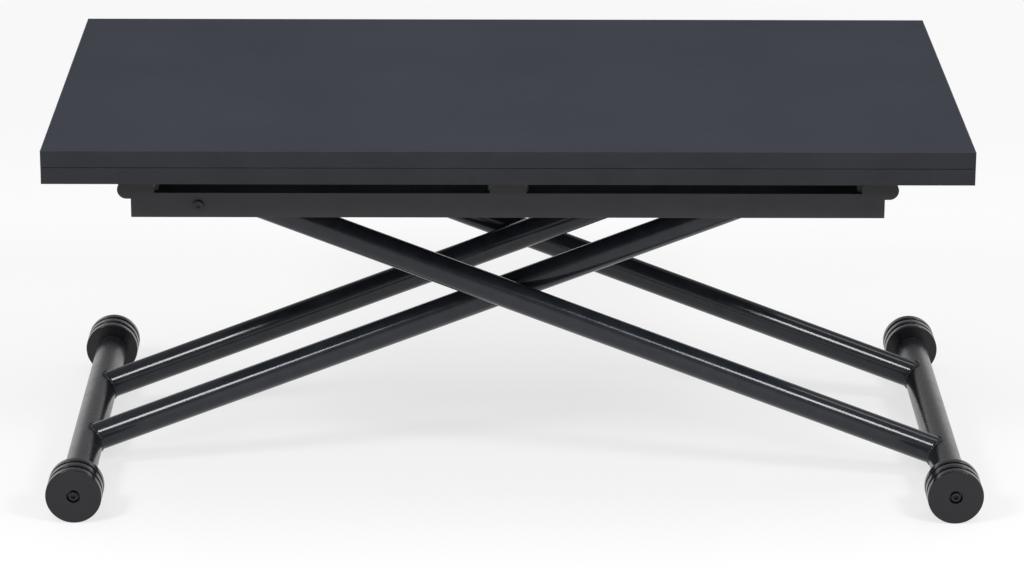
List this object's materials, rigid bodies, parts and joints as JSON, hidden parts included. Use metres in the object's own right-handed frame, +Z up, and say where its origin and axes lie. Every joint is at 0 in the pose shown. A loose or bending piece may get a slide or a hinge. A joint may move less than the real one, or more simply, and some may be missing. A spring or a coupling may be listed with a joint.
{
  "type": "lift-top table",
  "caption": "Low folding table on a castored scissor underframe: the top rises to dining height, slides forward and unfolds to twice its depth.",
  "frame": {"origin": "on the floor, at the centre of the bounding box of the lowered and folded table", "axes": "+X along the table to the viewer's right, +Y from the front edge to the hinged rear edge, +Z up"},
  "size_m": [1.034, 0.5732, 0.431],
  "materials": {
    "leaf_laminate": "satin anthracite laminate on particle board",
    "leaf_edge": "satin edging",
    "leg_paint": "gloss black",
    "foot_paint": "semi-gloss black",
    "frame_paint": "satin dark grey powder coat",
    "runner_paint": "satin dark grey powder coat",
    "bright_steel": "zinc plated",
    "dark_bolt": "black oxide",
    "strut_body": "gloss black",
    "strut_chrome": "polished",
    "pale_nylon": "natural nylon",
    "dark_nylon": "moulded",
    "roller_plastic": "satin moulded",
    "soft_rubber": "matt"
  },
  "bodies": {
    "right_axle_set": {"right_axle": "bright_steel", "right_axle_screws": "dark_bolt"},
    "right_front_caster": {"roller_right_front": "roller_plastic"},
    "right_rear_caster": {"roller_right_rear": "roller_plastic"},
    "outer_legs": {"outer_leg_front": "leg_paint", "outer_leg_rear": "leg_paint", "right_foot_bar": "foot_paint", "right_bar_bushes": "dark_nylon", "outer_leg_sleeves": "leg_paint", "leg_pivot_pins": "bright_steel"},
    "inner_legs": {"inner_leg_front": "leg_paint", "inner_leg_rear": "leg_paint", "left_foot_bar": "foot_paint", "left_bar_bushes": "dark_nylon", "inner_leg_sleeves": "leg_paint", "inner_leg_bushes": "dark_nylon"},
    "left_axle_set": {"left_axle": "bright_steel", "left_axle_screws": "dark_bolt"},
    "left_front_caster": {"roller_left_front": "roller_plastic"},
    "left_rear_caster": {"roller_left_rear": "roller_plastic"},
    "frame": {"front_rail": "frame_paint", "rear_rail": "frame_paint", "left_cross_tube": "frame_paint", "middle_cross_tube": "frame_paint", "right_cross_tube": "frame_paint", "guide_shoes": "dark_nylon", "rear_glide_pads": "pale_nylon", "leaf_support_buffers": "soft_rubber", "slider_stops": "dark_nylon", "pivot_shaft": "bright_steel", "pivot_shaft_bolts": "dark_bolt", "pivot_bolt_washers": "dark_bolt", "strut_rod": "strut_chrome", "strut_rod_bracket": "frame_paint", "release_head": "strut_body"},
    "slider": {"slider_shaft": "bright_steel", "strut_clamp": "strut_body", "strut_cylinder": "strut_body"},
    "front_guide_roller": {"guide_roller_front": "pale_nylon"},
    "rear_guide_roller": {"guide_roller_rear": "pale_nylon"},
    "lower_top": {"lower_leaf": "leaf_laminate", "lower_leaf_edging": "leaf_edge", "leaf_bumpers": "soft_rubber", "left_runner": "runner_paint", "centre_runner": "runner_paint", "right_runner": "runner_paint", "runner_end_caps": "dark_nylon", "runner_screws": "bright_steel", "runner_stop_screw": "bright_steel", "hinge_lower_plates": "bright_steel", "hinge_pins": "bright_steel", "hinge_lower_screws": "bright_steel"},
    "upper_top": {"upper_leaf": "leaf_laminate", "upper_leaf_edging": "leaf_edge", "hinge_upper_plates": "bright_steel", "hinge_upper_screws": "bright_steel"},
    "release_lever": {"release_lever": "strut_body", "release_lever_grip": "dark_nylon"},
    "release_pin": {"release_pin": "bright_steel"}
  },
  "joints": [
    {"name": "lift", "type": "hinge", "parent": "right_axle_set", "child": "outer_legs", "pos_m": [0.486, 0, 0.031], "axis": [0, 1, 0], "range_deg": [0, 26]},
    {"name": "scissor", "type": "hinge", "parent": "outer_legs", "child": "inner_legs", "pos_m": [0, 0, 0.2174], "axis": [0, 1, 0], "range_deg": [-52, 0]},
    {"name": "frame_level", "type": "hinge", "parent": "outer_legs", "child": "frame", "pos_m": [-0.3435, 0, 0.359], "axis": [0, 1, 0], "range_deg": [-26, 0]},
    {"name": "slider_level", "type": "hinge", "parent": "inner_legs", "child": "slider", "pos_m": [0.3435, 0, 0.359], "axis": [0, 1, 0], "range_deg": [0, 26]},
    {"name": "left_axle_turn", "type": "hinge", "parent": "inner_legs", "child": "left_axle_set", "pos_m": [-0.486, 0, 0.031], "axis": [0, 1, 0], "continuous": true},
    {"name": "right_front_roll", "type": "hinge", "parent": "right_axle_set", "child": "right_front_caster", "pos_m": [0.486, -0.2505, 0.031], "axis": [0, 1, 0], "continuous": true},
    {"name": "right_rear_roll", "type": "hinge", "parent": "right_axle_set", "child": "right_rear_caster", "pos_m": [0.486, 0.2505, 0.031], "axis": [0, 1, 0], "continuous": true},
    {"name": "left_front_roll", "type": "hinge", "parent": "left_axle_set", "child": "left_front_caster", "pos_m": [-0.486, -0.2505, 0.031], "axis": [0, 1, 0], "continuous": true},
    {"name": "left_rear_roll", "type": "hinge", "parent": "left_axle_set", "child": "left_rear_caster", "pos_m": [-0.486, 0.2505, 0.031], "axis": [0, 1, 0], "continuous": true},
    {"name": "front_guide_roll", "type": "hinge", "parent": "slider", "child": "front_guide_roller", "pos_m": [0.3435, -0.2345, 0.359], "axis": [0, 1, 0], "continuous": true},
    {"name": "rear_guide_roll", "type": "hinge", "parent": "slider", "child": "rear_guide_roller", "pos_m": [0.3435, 0.2345, 0.359], "axis": [0, 1, 0], "continuous": true},
    {"name": "top_slide", "type": "slide", "parent": "frame", "child": "lower_top", "axis": [0, -1, 0], "range_m": [0, 0.28342]},
    {"name": "leaf_fold", "type": "hinge", "parent": "lower_top", "child": "upper_top", "pos_m": [-0.0086, 0.28358, 0.4127], "axis": [-1, 0, 0], "range_deg": [0, 180]},
    {"name": "release_lever_pull", "type": "hinge", "parent": "frame", "child": "release_lever", "pos_m": [0.403, 0, 0.319], "axis": [0, -1, 0], "range_deg": [0, 10], "stiffness_Nm_per_rad": 2, "springref_deg": -11.46},
    {"name": "release_pin_push", "type": "slide", "parent": "frame", "child": "release_pin", "axis": [-1, 0, 0], "range_m": [0, 0.0021]}
  ],
  "couplings": [
    {"joint": "scissor", "follows": "lift", "ratio": -2},
    {"joint": "frame_level", "follows": "lift", "ratio": -1},
    {"joint": "slider_level", "follows": "lift", "ratio": 1},
    {"joint": "release_pin_push", "follows": "release_lever_pull", "m_per_rad": 0.012}
  ]
}
